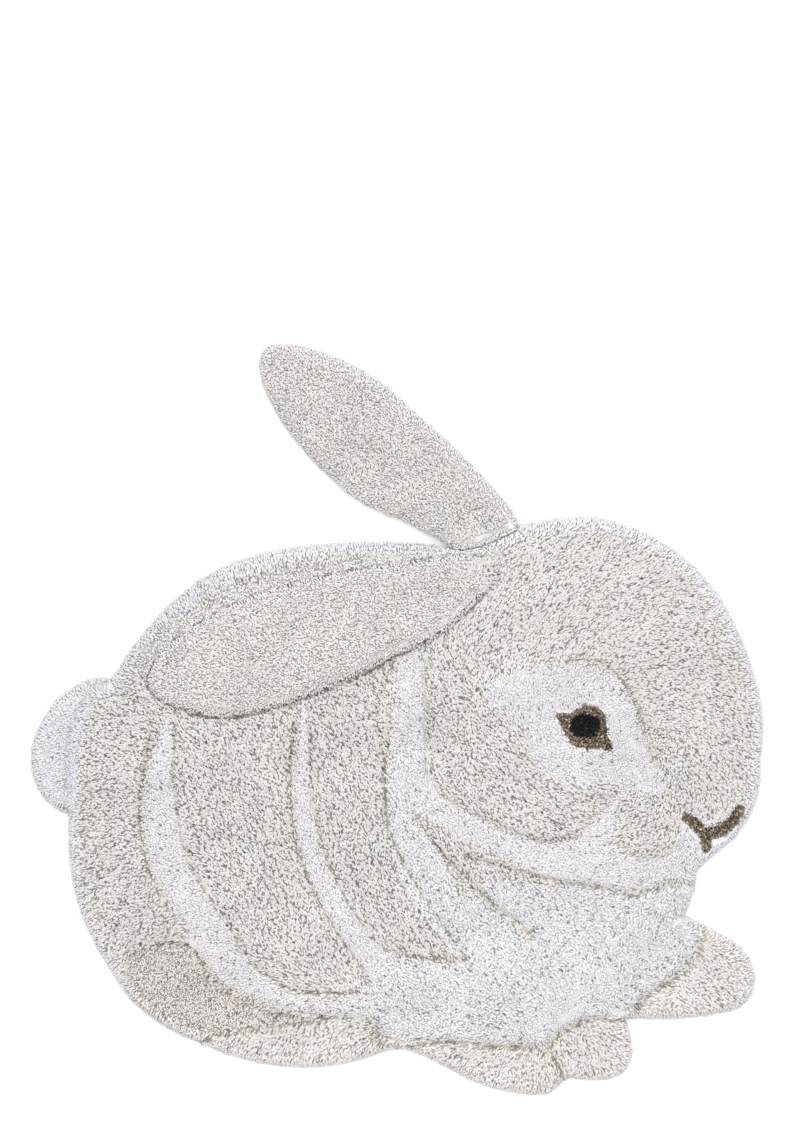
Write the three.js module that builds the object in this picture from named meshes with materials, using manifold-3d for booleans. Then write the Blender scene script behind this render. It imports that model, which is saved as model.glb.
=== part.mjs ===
// A floor rug in the shape of a crouching rabbit, hand-tufted in cotton.
// One shag slab makes the body, head, tail and feet. Two ears in a short pile are sewn on:
// one stands out from the head and lies on the floor, and one is laid back over the body.
// Millimetres, +Z up. The rug lies on z = 0 with the head towards +X and the feet towards -Y.
import * as THREE from "three";
import { mergeVertices } from "three/addons/utils/BufferGeometryUtils.js";
import Module from "manifold-3d";

const wasm = await Module();
wasm.setup();

// Heights above the floor
const shagTop = 26; // tips of the long pile
const shornTop = 15; // the shorn patch on the thigh
const faceTop = 22; // the lower pile round the eye
const earThickness = 16; // an ear's short pile with its backing
const earSeatTop = 17; // long pile pressed down under the laid ear
const rimTop = 8; // where the pile turns over at the rug's edge
const earRimTop = 5;

// Widths across the surface
const lockReach = 6; // locks stand out this far past the slab's own edge
const shagRound = 18; // the long pile rounds off over this width
const earRound = 9;
const stepWidth = 5; // half the width of a change in pile height
const creaseHalfWidth = 10;
const lumpHeight = 1.5;
const seam = 0.3; // clearance between sewn pieces
const earSeatMargin = 4; // the pressed pile shows this far round the laid ear

// How closely the surfaces are described
const outlineStep = 17;
const creaseStep = 22;
const shagSpacing = 33;
const earSpacing = 24;

// Outlines are chains of bowed lines. Each row ends a line that starts where the row above it ends.
// rise is how far the line's middle stands out from its chord, and is negative where it draws in.
const rugOutline = [
  { part: "crown", x: 290, y: 306, rise: 3 },
  { part: "brow", x: 400, y: 267, rise: 6 },
  { part: "forehead", x: 500, y: 162, rise: 10 },
  { part: "face", x: 545, y: 45, rise: 4 },
  { part: "bridge", x: 548, y: -60, rise: 6 },
  { part: "muzzle", x: 540, y: -130, rise: 4 },
  { part: "lip", x: 489, y: -197, rise: 6 },
  { part: "chin", x: 452, y: -230, rise: -1 },
  { part: "throat", x: 432, y: -295, rise: 6 },
  { part: "far paw, top", x: 520, y: -342, rise: 4 },
  { part: "far paw, toe", x: 541, y: -390, rise: 4 },
  { part: "far paw, heel", x: 500, y: -440, rise: 12 },
  { part: "far paw, sole", x: 343, y: -449, rise: 6 },
  { part: "near paw, front", x: 356, y: -500, rise: 3 },
  { part: "near paw, toe", x: 320, y: -541, rise: 11 },
  { part: "near paw, sole", x: 262, y: -539, rise: 3 },
  { part: "between the feet", x: 251, y: -543, rise: 0 },
  { part: "hind foot, toe", x: 205, y: -564, rise: 10 },
  { part: "hind foot, sole", x: 100, y: -537, rise: 6 },
  { part: "hind foot, instep", x: 30, y: -502, rise: -1 },
  { part: "arch", x: -20, y: -501, rise: -6 },
  { part: "heel, front", x: -140, y: -524, rise: 6 },
  { part: "heel, back", x: -300, y: -485, rise: 9 },
  { part: "hock", x: -400, y: -422, rise: 7 },
  { part: "thigh", x: -475, y: -290, rise: 5 },
  { part: "rump", x: -491, y: -139, rise: 8 },
  { part: "under the tail", x: -504, y: -141, rise: 1 },
  { part: "tail, lower", x: -547, y: -85, rise: 7 },
  { part: "tail, back", x: -532, y: 0, rise: 9 },
  { part: "tail, upper", x: -460, y: 62, rise: 9 },
  { part: "tail, root", x: -428, y: 60, rise: 3 },
  { part: "lower back", x: -300, y: 208, rise: 10 },
  { part: "back", x: -150, y: 260, rise: 9 },
  { part: "shoulder", x: 66, y: 265, rise: 5 },
  { part: "ear seat, left", x: 122, y: 264, rise: -5 },
  { part: "ear seat, right", x: 188, y: 293, rise: -1 },
];

const raisedEarOutline = [
  { part: "lower edge, root", x: 0, y: 303, rise: 0 },
  { part: "lower edge, middle", x: -100, y: 365, rise: 8 },
  { part: "lower edge, outer", x: -185, y: 470, rise: 6 },
  { part: "tip, side", x: -205, y: 533, rise: 4 },
  { part: "tip", x: -192, y: 560, rise: 4 },
  { part: "upper edge, outer", x: -140, y: 559, rise: 3 },
  { part: "upper edge, middle", x: -25, y: 508, rise: 6 },
  { part: "upper edge, inner", x: 30, y: 459, rise: 1 },
  { part: "upper edge, root", x: 168, y: 320, rise: 5 },
  { part: "root, right", x: 186, y: 284, rise: 2 },
  { part: "under the head", x: 130, y: 236, rise: 4 },
  { part: "root, left", x: 72, y: 266, rise: 6 },
];

const laidEarOutline = [
  { part: "tip, top", x: -327, y: 123, rise: 6 },
  { part: "upper edge, outer", x: -237, y: 176, rise: 2 },
  { part: "upper edge, middle", x: -113, y: 214, rise: 4 },
  { part: "upper edge, inner", x: 60, y: 241, rise: 3 },
  { part: "root, top", x: 138, y: 241, rise: 4 },
  { part: "root", x: 155, y: 215, rise: 5 },
  { part: "lower edge, root", x: 90, y: 146, rise: 1 },
  { part: "lower edge, inner", x: 0, y: 97, rise: 5 },
  { part: "lower edge, middle", x: -125, y: 38, rise: 3 },
  { part: "lower edge, outer", x: -260, y: 4, rise: 5 },
  { part: "tip, lower", x: -345, y: 27, rise: 5 },
  { part: "tip", x: -371, y: 62, rise: 7 },
];

const shornThighOutline = [
  { part: "top", x: -315, y: -331, rise: 7 },
  { part: "front", x: -270, y: -391, rise: 4 },
  { part: "over the foot", x: -112, y: -443, rise: -8 },
  { part: "sole line", x: -235, y: -450, rise: 4 },
  { part: "hock", x: -300, y: -478, rise: 3 },
  { part: "rim", x: -396, y: -416, rise: 5 },
  { part: "back", x: -396, y: -345, rise: 6 },
];

const eyePatchOutline = [
  { part: "corner", x: 200, y: 77, rise: 9 },
  { part: "top", x: 320, y: 68, rise: 10 },
  { part: "front", x: 372, y: -35, rise: 8 },
  { part: "tear line", x: 408, y: -96, rise: -2 },
  { part: "under the eye", x: 330, y: -88, rise: 5 },
  { part: "cheek", x: 214, y: -80, rise: 8 },
  { part: "back", x: 192, y: -5, rise: 7 },
  { part: "tail of the patch", x: 140, y: 22, rise: 4 },
];

// Creases run where two fields of pile meet and part. Each follows a smooth curve through its points.
const creases = [
  {
    name: "haunch, back",
    depth: 6,
    line: [[-362, -25], [-378, -120], [-370, -205], [-343, -270], [-300, -322]],
  },
  {
    name: "haunch, front",
    depth: 4,
    line: [[-326, -25], [-328, -110], [-303, -215], [-252, -300], [-212, -362], [-140, -404], [-40, -412]],
  },
  {
    name: "flank, back",
    depth: 5,
    line: [[-150, -10], [-156, -110], [-140, -210], [-100, -300], [-45, -380]],
  },
  {
    name: "flank, front",
    depth: 4,
    line: [[-124, -10], [-123, -110], [-104, -205], [-55, -300], [0, -352], [112, -362]],
  },
  {
    name: "shoulder, back",
    depth: 4,
    line: [[0, 75], [-10, -10], [-14, -100], [-4, -180], [36, -255], [80, -320], [112, -362]],
  },
  {
    name: "jaw",
    depth: 6,
    line: [[43, 85], [46, 0], [50, -90], [90, -128], [150, -156], [215, -182], [272, -176]],
  },
  { name: "cheek to muzzle", depth: 4, line: [[272, -176], [305, -143], [345, -100], [408, -98]] },
  {
    name: "muzzle puff",
    depth: 4,
    line: [[345, -112], [329, -150], [345, -195], [385, -209], [418, -190]],
  },
  {
    name: "throat",
    depth: 6,
    line: [[105, -206], [180, -227], [250, -244], [310, -251], [352, -264], [400, -247], [440, -241]],
  },
  { name: "breast", depth: 5, line: [[30, -150], [75, -205], [130, -262], [185, -304], [214, -334]] },
  {
    name: "belly",
    depth: 7,
    line: [[-30, -446], [-10, -478], [80, -480], [160, -487], [215, -488], [240, -508], [248, -538]],
  },
  {
    name: "near paw",
    depth: 7,
    line: [[228, -486], [244, -468], [275, -450], [310, -447], [340, -453]],
  },
  {
    name: "far paw",
    depth: 7,
    line: [[345, -430], [382, -405], [420, -379], [448, -349], [452, -318]],
  },
  { name: "heel", depth: 5, line: [[-112, -443], [-60, -444], [-35, -452], [-20, -480]] },
  {
    name: "tail root",
    depth: 6,
    line: [[-430, 52], [-468, 20], [-487, -40], [-489, -100], [-490, -136]],
  },
];

// A repeatable source of numbers from 0 to 1, for the unevenness of handwork.
function seededRandom(seed) {
  let state = seed;
  return () => {
    state = (state + 0x6d2b79f5) | 0;
    let mixed = Math.imul(state ^ (state >>> 15), 1 | state);
    mixed = (mixed + Math.imul(mixed ^ (mixed >>> 7), 61 | mixed)) ^ mixed;
    return ((mixed ^ (mixed >>> 14)) >>> 0) / 4294967296;
  };
}

// The closed loop of points that a table of bowed lines describes, taken clockwise.
function loopOf(rows, step = outlineStep) {
  const loop = [];
  rows.forEach((row, i) => {
    const from = rows.at(i - 1);
    const start = new THREE.Vector2(from.x, from.y);
    const chord = new THREE.Vector2(row.x, row.y).sub(start);
    const outward = new THREE.Vector2(-chord.y, chord.x).normalize();
    const count = Math.max(1, Math.round(chord.length() / step));
    for (let k = 0; k < count; k++) {
      const along = k / count;
      const bow = row.rise * 4 * along * (1 - along);
      loop.push(start.clone().addScaledVector(chord, along).addScaledVector(outward, bow));
    }
  });
  return loop;
}

// The direction that points out of a clockwise loop at one of its points.
function outwardAt(loop, i) {
  const before = loop.at(i - 1);
  const after = loop[(i + 1) % loop.length];
  return new THREE.Vector2(before.y - after.y, after.x - before.x).normalize();
}

const grown = (loop, by) => loop.map((point, i) => point.clone().addScaledVector(outwardAt(loop, i), by));

function distanceToLine(point, line, closed = false) {
  let nearest = Infinity;
  const last = closed ? line.length : line.length - 1;
  for (let i = 0; i < last; i++) {
    const a = line[i];
    const b = line[(i + 1) % line.length];
    const span = Math.max((b.x - a.x) ** 2 + (b.y - a.y) ** 2, 1e-9);
    const share = ((point.x - a.x) * (b.x - a.x) + (point.y - a.y) * (b.y - a.y)) / span;
    const t = THREE.MathUtils.clamp(share, 0, 1);
    const away = Math.hypot(point.x - a.x - t * (b.x - a.x), point.y - a.y - t * (b.y - a.y));
    nearest = Math.min(nearest, away);
  }
  return nearest;
}

function isInside(point, loop) {
  let inside = false;
  loop.forEach((a, i) => {
    const b = loop.at(i - 1);
    const crosses = a.y > point.y !== b.y > point.y;
    if (crosses && point.x < ((b.x - a.x) * (point.y - a.y)) / (b.y - a.y) + a.x) inside = !inside;
  });
  return inside;
}

// How far a point lies inside a loop, and negative outside it.
const depthIn = (point, loop) => distanceToLine(point, loop, true) * (isInside(point, loop) ? 1 : -1);

// Goes from 0 to 1 as a point moves from just outside a loop to just inside it.
const within = (point, loop) => THREE.MathUtils.smoothstep(depthIn(point, loop), -stepWidth, stepWidth);

// Low swells and hollows, as in a pile that has been trodden and shaken out. Swells of a few
// hundred millimetres cross shorter ones, and no two places come out alike.
function lumps({ x, y }) {
  const broad = Math.sin(x / 31 + 1.7 * Math.sin(y / 47)) * Math.sin(y / 27 + 1.3 * Math.sin(x / 53));
  const tight = Math.sin(x / 13 + y / 19) * Math.sin(y / 11 - x / 23);
  return lumpHeight * (broad + 0.6 * tight);
}

// The height of a pile that rounds over towards its edge.
function roundedOver(top, edgeTop, inFromEdge, roundWidth) {
  const share = THREE.MathUtils.clamp(inFromEdge / roundWidth, 0, 1);
  return edgeTop + (top - edgeTop) * Math.sqrt(1 - (1 - share) ** 2);
}

const rugLoop = loopOf(rugOutline);
const slabLoop = grown(rugLoop, -lockReach);
const raisedEarLoop = loopOf(raisedEarOutline);
const laidEarLoop = loopOf(laidEarOutline);
const shornThighLoop = loopOf(shornThighOutline);
const eyePatchLoop = loopOf(eyePatchOutline);
const earSeatLoop = grown(laidEarLoop, earSeatMargin);

const creaseLines = creases.map(({ depth, line }) => {
  const curve = new THREE.SplineCurve(line.map(([x, y]) => new THREE.Vector2(x, y)));
  return { depth, points: curve.getSpacedPoints(Math.round(curve.getLength() / creaseStep)) };
});

function rugTopAt(point) {
  let top = shagTop;
  top += (shornTop - shagTop) * within(point, shornThighLoop);
  top += (faceTop - shagTop) * within(point, eyePatchLoop);
  let parting = 0;
  for (const { depth, points } of creaseLines) {
    parting = Math.max(parting, depth * (1 - distanceToLine(point, points) / creaseHalfWidth));
  }
  top += lumps(point) - parting;
  top += (earSeatTop - top) * within(point, earSeatLoop);
  return roundedOver(top, rimTop, depthIn(point, slabLoop), shagRound);
}

const raisedEarTopAt = (point) =>
  roundedOver(earThickness + lumps(point) / 2, earRimTop, depthIn(point, raisedEarLoop), earRound);

function laidEarTopAt(point) {
  const top = earSeatTop + earThickness + lumps(point) / 2;
  return roundedOver(top, earSeatTop + earRimTop, depthIn(point, laidEarLoop), earRound);
}

// The points where a pile's height is taken. The first four are the corners of a rectangle round it.
function surfacePoints(loop, { roundWidth, spacing, lines, seed }) {
  const random = seededRandom(seed);
  const margin = 40;
  const box = new THREE.Box2().setFromPoints(loop).expandByScalar(margin);
  const points = [
    box.min.clone(),
    new THREE.Vector2(box.max.x, box.min.y),
    box.max.clone(),
    new THREE.Vector2(box.min.x, box.max.y),
  ];
  const add = (candidate, gap) => {
    if (points.every((other) => other.distanceTo(candidate) > gap)) points.push(candidate);
  };
  const ringInsets = [-1.5, 0.2 * roundWidth, 0.55 * roundWidth, 1.1 * roundWidth];
  for (const inset of ringInsets) {
    grown(loop, -inset).forEach((point) => add(point, 2.5));
  }
  for (const line of lines) {
    line.forEach((point, i) => {
      const ahead = line[Math.min(i + 1, line.length - 1)];
      const behind = line[Math.max(i - 1, 0)];
      const across = new THREE.Vector2(behind.y - ahead.y, ahead.x - behind.x).normalize();
      for (const side of [0, -1, 1]) {
        add(point.clone().addScaledVector(across, side * creaseHalfWidth), 6);
      }
    });
  }
  for (let x = box.min.x; x < box.max.x; x += spacing) {
    for (let y = box.min.y; y < box.max.y; y += spacing) {
      const sway = () => (random() - 0.5) * 0.6 * spacing;
      const candidate = new THREE.Vector2(x + sway(), y + sway());
      if (depthIn(candidate, loop) > roundWidth) add(candidate, 0.55 * spacing);
    }
  }
  return points;
}

// Delaunay triangles over points whose first four are a rectangle's corners, added one point at a time.
function triangulate(points) {
  const circled = (a, b, c) => {
    const [p, q, r] = [points[a], points[b], points[c]];
    const twist = 2 * (p.x * (q.y - r.y) + q.x * (r.y - p.y) + r.x * (p.y - q.y));
    const [pp, qq, rr] = [p.lengthSq(), q.lengthSq(), r.lengthSq()];
    const x = (pp * (q.y - r.y) + qq * (r.y - p.y) + rr * (p.y - q.y)) / twist;
    const y = (pp * (r.x - q.x) + qq * (p.x - r.x) + rr * (q.x - p.x)) / twist;
    return { corners: [a, b, c], x, y, reach: (p.x - x) ** 2 + (p.y - y) ** 2 };
  };
  let triangles = [circled(0, 1, 2), circled(0, 2, 3)];
  for (let i = 4; i < points.length; i++) {
    const { x, y } = points[i];
    const rim = new Map();
    triangles = triangles.filter((triangle) => {
      if ((x - triangle.x) ** 2 + (y - triangle.y) ** 2 >= triangle.reach) return true;
      const [a, b, c] = triangle.corners;
      for (const [from, to] of [[a, b], [b, c], [c, a]]) {
        if (!rim.delete(`${to},${from}`)) rim.set(`${from},${to}`, [from, to]);
      }
      return false;
    });
    for (const [from, to] of rim.values()) triangles.push(circled(from, to, i));
  }
  return triangles.map((triangle) => triangle.corners);
}

// A closed mesh, given by its corners and the triangles between them, as a solid.
const solidOf = (vertices, triangles) =>
  new wasm.Manifold(
    new wasm.Mesh({
      numProp: 3,
      vertProperties: new Float32Array(vertices.flat()),
      triVerts: new Uint32Array(triangles.flat()),
    }),
  );

// Everything below a pile's surface, inside a rectangle round it.
function underSurface(points, topAt) {
  const top = points.map((point) => [point.x, point.y, topAt(point)]);
  const floor = points.slice(0, 4).map((point) => [point.x, point.y, 0]);
  const base = top.length;
  const walls = [0, 1, 2, 3].flatMap((i) => {
    const next = (i + 1) % 4;
    return [[base + i, base + next, next], [base + i, next, i]];
  });
  const bottom = [[base, base + 2, base + 1], [base, base + 3, base + 2]];
  return solidOf([...top, ...floor], [...triangulate(points), ...walls, ...bottom]);
}

// A straight-sided block with a loop's outline.
function blockOf(loop, low, high) {
  const settings = { depth: high - low, bevelEnabled: false };
  const block = new THREE.ExtrudeGeometry(new THREE.Shape(loop), settings);
  block.translate(0, 0, low);
  block.deleteAttribute("normal");
  block.deleteAttribute("uv");
  const merged = mergeVertices(block, 1e-3);
  const position = merged.getAttribute("position");
  const vertices = Array.from({ length: position.count }, (_, i) =>
    new THREE.Vector3().fromBufferAttribute(position, i).toArray(),
  );
  return solidOf(vertices, [Array.from(merged.index.array)]);
}

const tallEnough = 60; // over every pile

function pileOf(loop, topAt, detail, low = 0) {
  const points = surfacePoints(loop, detail);
  return underSurface(points, topAt).intersect(blockOf(loop, low, tallEnough));
}

const lockRoot = { halfWidth: 6.5, height: 12, inward: 7 };
const lockTip = { halfWidth: 2.5, height: 3.5 };

// One lock of the rim: three-sided, flat on the floor, rooted inside the slab.
function lockAt(root, outward, reach) {
  const across = new THREE.Vector2(-outward.y, outward.x);
  const ring = (inward, { halfWidth, height }) => {
    const middle = root.clone().addScaledVector(outward, -inward);
    return [-1, 1, 0].map((side) => {
      const corner = middle.clone().addScaledVector(across, side * halfWidth);
      return [corner.x, corner.y, side === 0 ? height : 0];
    });
  };
  const vertices = [...ring(lockRoot.inward, lockRoot), ...ring(-reach, lockTip)];
  const sides = [[0, 4, 3], [0, 1, 4], [1, 5, 4], [1, 2, 5], [2, 3, 5], [2, 0, 3]];
  return solidOf(vertices, [[0, 2, 1], [3, 4, 5], ...sides]);
}

function rimLocks() {
  const random = seededRandom(11);
  const pitch = 17;
  const tipSpacing = 10; // the least between two tips
  const earClearance = 9;
  const sway = 0.35; // radians, side to side
  const unevenness = 2;
  const tips = [];
  const locks = [];
  const rim = new THREE.Path(slabLoop).setFromPoints([...slabLoop, slabLoop[0]]);
  const stations = rim.getSpacedPoints(Math.round(rim.getLength() / pitch));
  stations.pop();
  stations.forEach((root, i) => {
    const outward = outwardAt(stations, i);
    outward.rotateAround(new THREE.Vector2(), (random() - 0.5) * sway);
    const reach = lockReach + (random() - 0.5) * unevenness;
    const tip = root.clone().addScaledVector(outward, reach);
    const nearEar = depthIn(tip, raisedEarLoop) > -earClearance;
    const folded = depthIn(tip, slabLoop) > -0.8 * reach;
    const crowded = tips.some((other) => other.distanceTo(tip) < tipSpacing);
    if (nearEar || folded || crowded) return;
    tips.push(tip);
    locks.push(lockAt(root, outward, reach));
  });
  return locks;
}

const creasePoints = creaseLines.map(({ points }) => points);
const shornThighLine = [...shornThighLoop, shornThighLoop[0]];
const shagDetail = {
  roundWidth: shagRound,
  spacing: shagSpacing,
  lines: [...creasePoints, earSeatLoop, shornThighLine],
  seed: 3,
};
const earDetail = { roundWidth: earRound, spacing: earSpacing, lines: [], seed: 5 };

const slab = pileOf(slabLoop, rugTopAt, shagDetail);
const rug = rimLocks().reduce((whole, lock) => whole.add(lock), slab);
const raisedEar = pileOf(raisedEarLoop, raisedEarTopAt, earDetail).subtract(
  blockOf(grown(slabLoop, seam), -1, tallEnough),
);
const laidEar = pileOf(laidEarLoop, laidEarTopAt, earDetail, earSeatTop / 2).subtract(
  slab.translate([0, 0, seam]),
);

const naturalShag = new THREE.MeshStandardMaterial({ color: 0xd9d4cd, roughness: 0.95, metalness: 0 });
const naturalShortPile = new THREE.MeshStandardMaterial({ color: 0xd5d0c9, roughness: 0.95, metalness: 0 });

function meshOf(name, solid, material) {
  const made = solid.getMesh();
  const geometry = new THREE.BufferGeometry();
  geometry.setAttribute("position", new THREE.BufferAttribute(made.vertProperties, 3));
  geometry.setIndex(new THREE.BufferAttribute(made.triVerts, 1));
  geometry.computeVertexNormals();
  const mesh = new THREE.Mesh(geometry, material);
  mesh.name = name;
  return mesh;
}

const rabbitRug = new THREE.Group();
rabbitRug.add(
  meshOf("rug", rug, naturalShag),
  meshOf("ear_raised", raisedEar, naturalShortPile),
  meshOf("ear_laid", laidEar, naturalShortPile),
);

// The origin is on the floor under the middle of the whole rug.
const box = new THREE.Box3().setFromObject(rabbitRug);
const middle = box.getCenter(new THREE.Vector3());
rabbitRug.position.set(-middle.x, -middle.y, 0);

export default rabbitRug;
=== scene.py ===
# Rabbit shaped kids rug in tufted cotton: long pile on the body, short pile on the two ears.
# Metres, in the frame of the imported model. Places and sizes on the rug are in millimetres.
import math

import bmesh
import bpy
import numpy as np
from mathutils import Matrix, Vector
from mathutils.bvhtree import BVHTree
from mathutils.geometry import delaunay_2d_cdt
from mathutils.kdtree import KDTree


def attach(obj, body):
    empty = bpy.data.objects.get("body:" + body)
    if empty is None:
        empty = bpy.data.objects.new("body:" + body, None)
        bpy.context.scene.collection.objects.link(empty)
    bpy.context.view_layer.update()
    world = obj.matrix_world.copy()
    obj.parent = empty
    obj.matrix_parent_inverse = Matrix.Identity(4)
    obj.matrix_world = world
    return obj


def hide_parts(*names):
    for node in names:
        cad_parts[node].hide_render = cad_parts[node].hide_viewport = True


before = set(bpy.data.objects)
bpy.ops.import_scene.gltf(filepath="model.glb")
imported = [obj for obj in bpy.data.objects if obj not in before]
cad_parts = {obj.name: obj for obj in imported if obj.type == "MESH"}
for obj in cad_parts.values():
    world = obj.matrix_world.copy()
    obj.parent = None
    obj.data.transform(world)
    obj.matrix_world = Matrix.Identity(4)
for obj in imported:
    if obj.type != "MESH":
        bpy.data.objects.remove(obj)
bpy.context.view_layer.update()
mm = 0.001
shiftX, shiftY = -1.34, 0.95  # from the point that places are measured from to the frame's middle
rng = np.random.default_rng(7)
print("frame loaded")


# Small tools

def linearOf(hexColour):
    shares = [int(hexColour[i : i + 2], 16) / 255 for i in (1, 3, 5)]
    return np.array([s / 12.92 if s <= 0.04045 else ((s + 0.055) / 1.055) ** 2.4 for s in shares])


def placeObject(name, data):
    thing = bpy.data.objects.new(name, data)
    bpy.context.scene.collection.objects.link(thing)
    return thing


def unitOf(ways):
    return ways / np.maximum(np.linalg.norm(ways, axis=1), 1e-6)[:, None]


def nearestFinder(points):
    tree = KDTree(len(points))
    for i, (x, y) in enumerate(points):
        tree.insert((x, y, 0), i)
    tree.balance()
    return tree


def smoothStep(low, high, value):
    share = np.clip((value - low) / (high - low), 0, 1)
    return share * share * (3 - 2 * share)


def smoothNoise(at, size, seed):
    # A few crossing waves, about one swell for each size, mostly from -1 to 1
    local = np.random.default_rng(seed)
    total = np.zeros(len(at))
    for turn, phase, stretch in local.uniform(0, 1, (7, 3)):
        way = np.array([math.cos(math.tau * turn), math.sin(math.tau * turn)])
        total += np.sin(at @ way * (math.tau / size) * (0.6 + 0.8 * stretch) + math.tau * phase)
    return total / 3.0


def curveThrough(points, step=4.0):
    # A smooth line through the points of a table, in millimetres
    p = np.array(points, float)
    ends = np.vstack([2 * p[0] - p[1], p, 2 * p[-1] - p[-2]])
    line = []
    for a, b, c, d in zip(ends, ends[1:], ends[2:], ends[3:]):
        count = max(1, int(np.linalg.norm(c - b) / step))
        for t in np.arange(count) / count:
            line.append(0.5 * (2 * b + (c - a) * t + (2 * a - 5 * b + 4 * c - d) * t**2
                               + (3 * b - a - 3 * c + d) * t**3))
    return np.array([*line, p[-1]])


def nearestOn(line, at):
    # Distance to a line of points, and how far along it the nearest place is, from 0 to 1
    best = np.full(len(at), np.inf)
    along = np.zeros(len(at))
    for i, (a, b) in enumerate(zip(line, line[1:])):
        way = b - a
        share = np.clip((at - a) @ way / max(way @ way, 1e-9), 0, 1)
        away = np.linalg.norm(at - a - share[:, None] * way, axis=1)
        closer = away < best
        best[closer] = away[closer]
        along[closer] = (i + share[closer]) / (len(line) - 1)
    return best, along


def nearBox(points, at, margin=0.0):
    # Which places lie in the box round some points
    low, high = points.min(axis=0) - margin, points.max(axis=0) + margin
    return np.flatnonzero(((at >= low) & (at <= high)).all(axis=1))


def insideOf(loop, at):
    who = nearBox(loop, at)
    x, y = at[who].T
    odd = np.zeros(len(who), bool)
    for a, b in zip(loop, np.roll(loop, 1, axis=0)):
        if a[1] == b[1]:
            continue
        crosses = (a[1] > y) != (b[1] > y)
        odd ^= crosses & (x < (b[0] - a[0]) * (y - a[1]) / (b[1] - a[1]) + a[0])
    inside = np.zeros(len(at), bool)
    inside[who] = odd
    return inside


# Camera, light and floor

# The photograph is taken from above. The camera's height is in metres, and the picture's middle and
# its height on the floor are in millimetres.
camera = {"height": 3.5, "centre": (6.0, 228.4), "tall": 1704.0}
lamp = {"strength": 1.4, "softness": 90, "fromTop": -36, "fromSide": -6, "sky": 1.03}  # angles in degrees

camData = bpy.data.cameras.new("camera")
camData.lens = camData.sensor_width * camera["height"] / (camera["tall"] * mm)
cam = placeObject("camera", camData)
cameraX, cameraY = camera["centre"]
cam.location = ((cameraX + shiftX) * mm, (cameraY + shiftY) * mm, camera["height"])
bpy.context.scene.camera = cam

sunData = bpy.data.lights.new("window_light", "SUN")
sunData.energy = lamp["strength"]
sunData.angle = math.radians(lamp["softness"])
sun = placeObject("window_light", sunData)
sun.rotation_euler = (math.radians(lamp["fromTop"]), math.radians(lamp["fromSide"]), 0)

world = bpy.data.worlds.new("studio")
world.use_nodes = True
world.node_tree.nodes["Background"].inputs["Color"].default_value = (1, 1, 1, 1)
world.node_tree.nodes["Background"].inputs["Strength"].default_value = lamp["sky"]
bpy.context.scene.world = world
bpy.context.scene.view_settings.view_transform = "Standard"
print("camera and light set")


# Materials

def addNode(tree, kind, settings=None, links=None):
    # One node, with its settings, and links from other nodes' outputs to its inputs
    node = tree.nodes.new(kind)
    for name, value in (settings or {}).items():
        if name in node.inputs:
            node.inputs[name].default_value = value
        else:
            setattr(node, name, value)
    for name, (source, output) in (links or {}).items():
        tree.links.new(source.outputs[output], node.inputs[name])
    return node


def newMaterial(name, settings):
    mat = bpy.data.materials.new(name)
    mat.use_nodes = True
    shader = mat.node_tree.nodes["Principled BSDF"]
    for key, value in settings.items():
        shader.inputs[key].default_value = value
    return mat, mat.node_tree, shader


def cottonPile(name, fibre, fibreDepth):
    # Cut cotton pile: dry, matt and soft, with a faint bloom where light grazes it. The colour comes
    # with each lock, and the fibres in a lock are fine streaks along it.
    mat, tree, shader = newMaterial(name, {
        "Roughness": 0.92, "IOR": 1.45, "Specular IOR Level": 0.18,
        "Sheen Weight": 0.12, "Sheen Roughness": 0.5,
    })
    dyed = addNode(tree, "ShaderNodeVertexColor", {"layer_name": "pileColour"})
    place = addNode(tree, "ShaderNodeTexCoord")
    streaks = addNode(tree, "ShaderNodeTexNoise", {"Scale": 1 / (fibre * mm), "Detail": 2.0},
                      {"Vector": (place, "Object")})
    shade = addNode(tree, "ShaderNodeMapRange",
                    {"From Min": 0.3, "From Max": 0.7, "To Min": 0.93, "To Max": 1.05},
                    {"Value": (streaks, "Fac")})
    worn = addNode(tree, "ShaderNodeVectorMath", {"operation": "SCALE"},
                   {0: (dyed, "Color"), "Scale": (shade, "Result")})
    tree.links.new(worn.outputs["Vector"], shader.inputs["Base Color"])
    relief = addNode(tree, "ShaderNodeBump", {"Strength": 0.35, "Distance": fibreDepth * mm},
                     {"Height": (streaks, "Fac")})
    tree.links.new(relief.outputs["Normal"], shader.inputs["Normal"])
    return mat


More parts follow.
